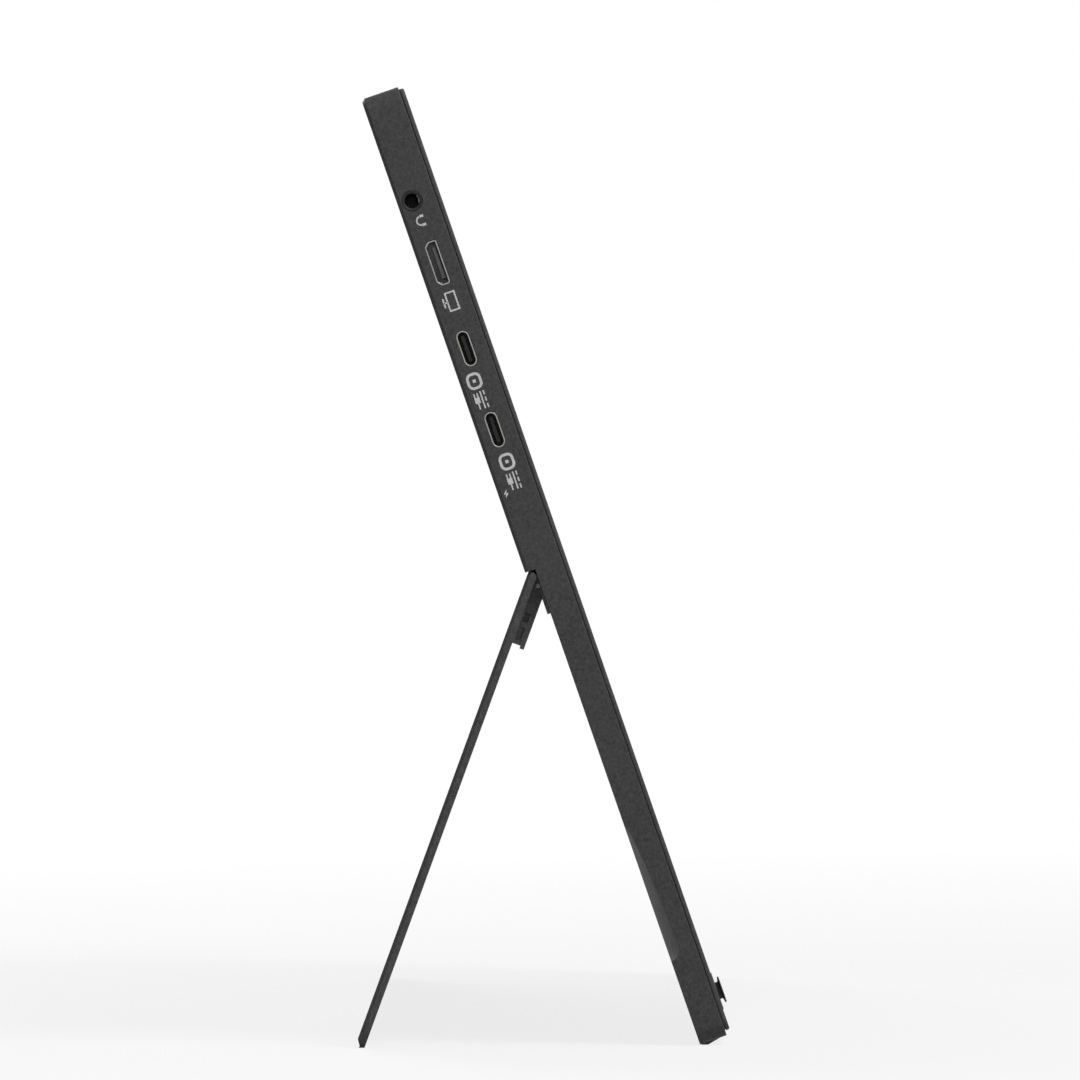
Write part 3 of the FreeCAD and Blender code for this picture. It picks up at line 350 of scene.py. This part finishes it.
finishes = {
    "casing": grainFinish("casingGrain", scoopedTone),
    "bezel": grainFinish("bezelGrain", bezelLitTone),
    "stand_coat": grainFinish("standGrain", standTone),
    "screen": screenFinish("screenGlass", screenTone),
    "film": mouldedFinish("opticalFilm", filmTone),
    "tape": mouldedFinish("blackTape", blackTone),
    "sheet_steel": metalFinish("pressedSheet", sheetTone),
    "hinge_steel": metalFinish("hingeLiftedOutOfShade", hingeShadeLiftTone),
    "pin_steel": metalFinish("groundPin", pinTone),
    "screw_steel": metalFinish("screwBlack", dict(blackSteelTone, edgeWearAndSheen=0.5)),
    "nickel": metalFinish("socketNickel", nickelTone),
    "socket_plastic": mouldedFinish("socketBlack", blackTone),
    "board": mouldedFinish("boardMask", boardTone),
    "chip": mouldedFinish("chipBlack", dict(blackTone, rough=0.6)),
    "flex": mouldedFinish("flexAmber", flexTone),
    "wire": mouldedFinish("wireJacket", wireTone),
    "foot_rubber": mouldedFinish("footRubber", rubberShadeLiftTone),
    "stick_plastic": mouldedFinish("stickBlack", stickTone),
}
ownFinish = {"video_socket_tongue": mouldedFinish("tongueLiftedOutOfShade", tongueShadeLiftTone)}
goldContact = metalFinish("contactGold", goldTone)
springSteel = metalFinish("springSteel", springTone)
printInk = mouldedFinish("printInk", inkTone)

for entry in frame["record"]["subparts"]:
    part = nodes[entry["node"]]
    part.data.materials.clear()
    part.data.materials.append(ownFinish.get(entry["node"], finishes[entry["material_slot"]]))
print("finishes set on", len(nodes), "nodes")


# places on the left edge, given down from the top edge and in from the rear face
def onEdge(drop, depth, out=0.0):
    return rearTop - bodyUp * drop - bodyBack * depth - Vector((out, 0, 0))


def meshPiece(name, verts, faces, mat, body="monitor"):
    mesh = bpy.data.meshes.new(name)
    mesh.from_pydata([tuple(v) for v in verts], [], faces)
    mesh.update()
    piece = bpy.data.objects.new(name, mesh)
    bpy.context.scene.collection.objects.link(piece)
    mesh.materials.append(mat)
    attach(piece, body)
    return piece


# flat printed marks, drawn in millimetres on the side edge: along runs down the body, over runs to the front
inkThick = 0.000012


def printShape(name, outlines):
    verts, faces = [], []
    for outline in outlines:
        first = len(verts)
        count = len(outline)
        for out in (0.0, inkThick):
            verts += [onEdge(drop * mm, depth * mm, out) for drop, depth in outline]
        faces.append(tuple(range(first + count, first + 2 * count)))
        faces.append(tuple(reversed(range(first, first + count))))
        for i in range(count):
            j = (i + 1) % count
            faces.append((first + i, first + j, first + count + j, first + count + i))
    piece = meshPiece(name, verts, faces, printInk)
    bm = bmesh.new()
    bm.from_mesh(piece.data)
    bmesh.ops.recalc_face_normals(bm, faces=bm.faces)
    bm.to_mesh(piece.data)
    bm.free()


def bar(drop, depth, length, width):
    return [(drop, depth - width / 2), (drop + length, depth - width / 2),
            (drop + length, depth + width / 2), (drop, depth + width / 2)]


def arcBand(drop, depth, radius, width, start, end, steps=20):
    outer, inner = [], []
    for i in range(steps + 1):
        a = math.radians(start + (end - start) * i / steps)
        outer.append((drop + (radius + width / 2) * math.cos(a), depth + (radius + width / 2) * math.sin(a)))
        inner.append((drop + (radius - width / 2) * math.cos(a), depth + (radius - width / 2) * math.sin(a)))
    return [[outer[i], outer[i + 1], inner[i + 1], inner[i]] for i in range(steps)]


# head band with two pads, beside the audio jack
headset = {"drop": 33.0, "depth": 4.2, "radius": 1.1, "line": 0.36, "padLong": 0.62, "padWide": 1.0,
           "padShift": 0.4}
band = arcBand(headset["drop"], headset["depth"], headset["radius"], headset["line"], 180, 360)
padStart = headset["drop"] - headset["padLong"] / 2
pads = [bar(padStart + way * headset["radius"], headset["depth"] + headset["padShift"], headset["padLong"],
            headset["padWide"]) for way in (-1, 1)]
printShape("headsetMark", band + pads)

# little screen on a foot, beside the video socket
screenMark = {"drop": 51.6, "depth": 4.9, "height": 4.9, "width": 2.3, "line": 0.4, "foot": 0.9,
              "footWide": 2.4}
s = screenMark
middle = s["drop"] + s["height"] / 2
screenBars = [bar(s["drop"], s["depth"] + way * s["width"] / 2, s["height"], s["line"]) for way in (-1, 1)]
screenBars += [bar(start, s["depth"], s["line"], s["width"] - s["line"])
               for start in (s["drop"], s["drop"] + s["height"] - s["line"])]
lowerEdge = s["depth"] - s["width"] / 2
screenBars.append(bar(middle - s["line"] / 2, lowerEdge - s["foot"] / 2, s["line"], s["foot"]))
screenBars.append(bar(middle - s["footWide"] / 2, lowerEdge - s["foot"], s["footWide"], s["line"]))
printShape("screenMark", screenBars)

# beside each power socket: rounded frame with a dot, plug, and a line over dashes; a bolt on the lower one
powerMark = {"frameLong": 3.5, "frameWide": 3.1, "corner": 1.15, "frameLine": 0.66, "dot": 0.8, "line": 0.36,
             "gap": 1.0, "rule": 4.4, "ruleShift": 0.45, "dashes": 3, "dash": 1.1, "dashStep": 1.65,
             "dashShift": 1.3, "plugStart": 0.2, "plugShift": -0.8, "boltStart": 3.6, "boltShift": -2.8}
powerPlaces = {"upper": (72.6, 3.6), "lower": (93.8, 4.7)}
plugMark = {"prong": 1.1, "prongLine": 0.32, "prongShift": 0.4, "head": 1.5, "headWide": 1.3, "cord": 1.5,
            "cordLine": 0.36}
boltMark = [(0, 0.45), (1.15, -0.62), (1.05, -0.05), (2.1, -0.35), (0.95, 0.72), (1.05, 0.15)]


def roundedFrame(drop, depth, long, wide, corner, line):
    a, b = long / 2 - corner, wide / 2 - corner
    shapes = []
    for turn, way, over in ((0, 1, 1), (90, -1, 1), (180, -1, -1), (270, 1, -1)):
        shapes += arcBand(drop + way * a, depth + over * b, corner, line, turn, turn + 90, 8)
    for over in (-1, 1):
        shapes.append(bar(drop - a, depth + over * wide / 2, 2 * a, line))
    for way in (-1, 1):
        shapes.append(bar(drop + way * long / 2 - line / 2, depth, line, 2 * b))
    return shapes


def plugShape(drop, depth):
    p = plugMark
    headEnd = p["prong"] + p["head"]
    shapes = [bar(drop + p["prong"], depth, p["head"], p["headWide"])]
    shapes.append(bar(drop + headEnd, depth, p["cord"], p["cordLine"]))
    for over in (-1, 1):
        shapes.append(bar(drop, depth + over * p["prongShift"], p["prong"], p["prongLine"]))
    return shapes


def boltShape(drop, depth):
    return [[(drop + along, depth + over) for along, over in boltMark]]


for level, (drop, depth) in powerPlaces.items():
    m = powerMark
    middle = drop + m["frameLong"] / 2
    shapes = roundedFrame(middle, depth, m["frameLong"], m["frameWide"], m["corner"], m["frameLine"])
    shapes.append(bar(middle - m["dot"] / 2, depth, m["dot"], m["dot"]))
    start = drop + m["frameLong"] + m["gap"]
    shapes.append(bar(start, depth + m["ruleShift"], m["rule"], m["line"]))
    for i in range(m["dashes"]):
        shapes.append(bar(start + i * m["dashStep"], depth + m["dashShift"], m["dash"], m["line"]))
    shapes += plugShape(start + m["plugStart"], depth + m["plugShift"])
    if level == "lower":
        shapes += boltShape(start + m["boltStart"], depth + m["boltShift"])
    printShape(level + "PowerMark", shapes)
print("printed marks done")


# gold contacts on both faces of the charging tongues
powerContacts = {"count": 12, "pitch": 0.0005, "long": 0.0026, "wide": 0.00026, "offset": 0.00036,
                 "middle": 0.72, "halfThick": 0.00003}
blockCorners = ((-1, -1), (1, -1), (1, 1), (-1, 1))
blockFaces = [(0, 1, 2, 3), (7, 6, 5, 4), (0, 4, 5, 1), (1, 5, 6, 2), (2, 6, 7, 3), (3, 7, 4, 0)]


def contactRow(name, node, row):
    low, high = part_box(node)
    centre = (low + high) / 2
    verts, faces = [], []
    for side in (-1, 1):
        for i in range(row["count"]):
            mid = centre + bodyUp * (i - (row["count"] - 1) / 2) * row["pitch"]
            mid = mid + bodyBack * side * row["offset"]
            mid.x = low.x + row["long"] * row["middle"]
            first = len(verts)
            for dx in (-row["long"] / 2, row["long"] / 2):
                for du, dv in blockCorners:
                    across = bodyUp * row["wide"] / 2 * du + bodyBack * (row["halfThick"] * dv)
                    verts.append(mid + Vector((dx, 0, 0)) + across)
            faces += [tuple(first + k for k in face) for face in blockFaces]
    meshPiece(name, verts, faces, goldContact)


for level in ("upper", "lower"):
    contactRow(level + "PowerContacts", level + "_power_socket_tongue", powerContacts)


# spring leaf in the bore of the audio jack, bowed in towards the plug
jackLeaf = {"radius": 0.00174, "start": 0.0004, "length": 0.0036, "bow": 0.00065, "spread": 32,
            "thick": 0.0001, "steps": 10, "rows": 6}


def makeJackLeaf():
    leaf = jackLeaf
    axisPlace = onEdge(jackDrop, jackDepth)
    verts, faces = [], []
    for i in range(leaf["steps"] + 1):
        share = i / leaf["steps"]
        radius = leaf["radius"] - leaf["bow"] * math.sin(math.pi * share)
        for j in range(leaf["rows"] + 1):
            angle = math.radians(leaf["spread"] * (2 * j / leaf["rows"] - 1))
            reach = bodyBack * -math.cos(angle) + bodyUp * math.sin(angle)
            inward = Vector((leaf["start"] + leaf["length"] * share, 0, 0))
            verts.append(axisPlace + inward + reach * radius)
    row = leaf["rows"] + 1
    for i in range(leaf["steps"]):
        for j in range(leaf["rows"]):
            first = i * row + j
            faces.append((first, first + 1, first + row + 1, first + row))
    piece = meshPiece("jackSpringLeaf", verts, faces, springSteel)
    solid = piece.modifiers.new("thickness", "SOLIDIFY")
    solid.thickness = leaf["thick"]
    solid.offset = 0


makeJackLeaf()
print("socket contacts done")


# floor, light and camera
def seenRay(tree):
    # rays that look at the background, straight or off metal and glass
    path = add(tree, "ShaderNodeLightPath")
    mirrored = math2(tree, "MAXIMUM", path.outputs["Is Glossy Ray"], path.outputs["Is Transmission Ray"])
    return math2(tree, "MAXIMUM", path.outputs["Is Camera Ray"], mirrored)


def makeFloor():
    size = floorSet["size"]
    mesh = bpy.data.meshes.new("floorSheet")
    corners = [(-size, -size, 0), (size, -size, 0), (size, size, 0), (-size, size, 0)]
    mesh.from_pydata(corners, [], [(0, 1, 2, 3)])
    floor = bpy.data.objects.new("floorSheet", mesh)
    bpy.context.scene.collection.objects.link(floor)
    mat, tree, shader = newMaterial("paleFloor")
    cloud = noise(tree, coords(tree), floorSet["cloud"], 2.0)
    plug(tree, blend(tree, cloud, floorSet["dark"], floorSet["light"]), shader.inputs["Base Color"])
    shader.inputs["Roughness"].default_value = floorSet["rough"]
    # white to the eye, with part of the shaded floor kept for the shadow and less of it further out
    reach = add(tree, "ShaderNodeVectorMath", operation="LENGTH")
    plug(tree, coords(tree), reach.inputs[0])
    white = span(tree, reach.outputs["Value"], *floorSet["fade"], floorSet["white"], 1.0)
    glow = add(tree, "ShaderNodeEmission")
    glow.inputs["Color"].default_value = (1, 1, 1, 1)
    mixed = add(tree, "ShaderNodeMixShader")
    plug(tree, math2(tree, "MULTIPLY", seenRay(tree), white), mixed.inputs[0])
    plug(tree, shader.outputs["BSDF"], mixed.inputs[1])
    plug(tree, glow.outputs["Emission"], mixed.inputs[2])
    plug(tree, mixed.outputs["Shader"], tree.nodes["Material Output"].inputs["Surface"])
    mesh.materials.append(mat)


def makeWorld():
    world = bpy.data.worlds.new("studio")
    bpy.context.scene.world = world
    world.use_nodes = True
    tree = world.node_tree
    back = tree.nodes["Background"]
    back.inputs["Color"].default_value = (1, 1, 1, 1)
    plug(tree, span(tree, seenRay(tree), 0, 1, worldLight["level"], 1.0), back.inputs["Strength"])


def areaLight(name, place, aim, size, power):
    data = bpy.data.lights.new(name, "AREA")
    data.shape = "RECTANGLE"
    data.size, data.size_y = size
    data.energy = power
    lamp = bpy.data.objects.new(name, data)
    bpy.context.scene.collection.objects.link(lamp)
    lamp.location = place
    lamp.rotation_euler = (Vector(aim) - Vector(place)).to_track_quat("-Z", "Y").to_euler()
    return lamp


floorSet = {"size": 60.0, "white": 0.82, "fade": (0.25, 1.2), "dark": (0.52, 0.52, 0.52),
            "light": (0.58, 0.58, 0.58), "cloud": 3.0, "rough": 0.9}
worldLight = {"level": 0.08}
lampAim = (0, 0, 0.12)
lamps = {
    "keySoft": {"place": (-0.6, -0.52, 1.05), "size": (0.5, 0.5), "power": 12.5},
    "sideSoft": {"place": (-3.2, 0.0, 0.3), "size": (1.0, 0.5), "power": 26},
    "rearFill": {"place": (2.0, 0.8, 0.6), "size": (1.2, 1.0), "power": 40},
}
makeFloor()
makeWorld()
for name, lamp in lamps.items():
    made = areaLight(name, lamp["place"], lampAim, lamp["size"], lamp["power"])
    # the low side lamp stands behind the camera, so the socket rims would mirror it
    made.visible_glossy = name != "sideSoft"

cameraSet = {"lens": 300.0, "sensor": 36.0, "frameHeight": 0.2642, "aimY": -0.00022, "aimZ": 0.1241,
             "roll": -0.53, "farthest": 100}


def makeCamera():
    data = bpy.data.cameras.new("photoCamera")
    data.lens = cameraSet["lens"]
    data.sensor_width = cameraSet["sensor"]
    camera = bpy.data.objects.new("photoCamera", data)
    bpy.context.scene.collection.objects.link(camera)
    stepBack = cameraSet["frameHeight"] / 2 / (data.sensor_width / 2 / data.lens)
    camera.location = (sideEdge - stepBack, cameraSet["aimY"], cameraSet["aimZ"])
    look = Vector((1, 0, 0)).to_track_quat("-Z", "Y").to_matrix()
    camera.rotation_euler = (look @ Matrix.Rotation(math.radians(cameraSet["roll"]), 3, "Z")).to_euler()
    data.clip_end = cameraSet["farthest"]
    bpy.context.scene.camera = camera


makeCamera()
bpy.context.scene.view_settings.view_transform = "Standard"
print("stage ready")
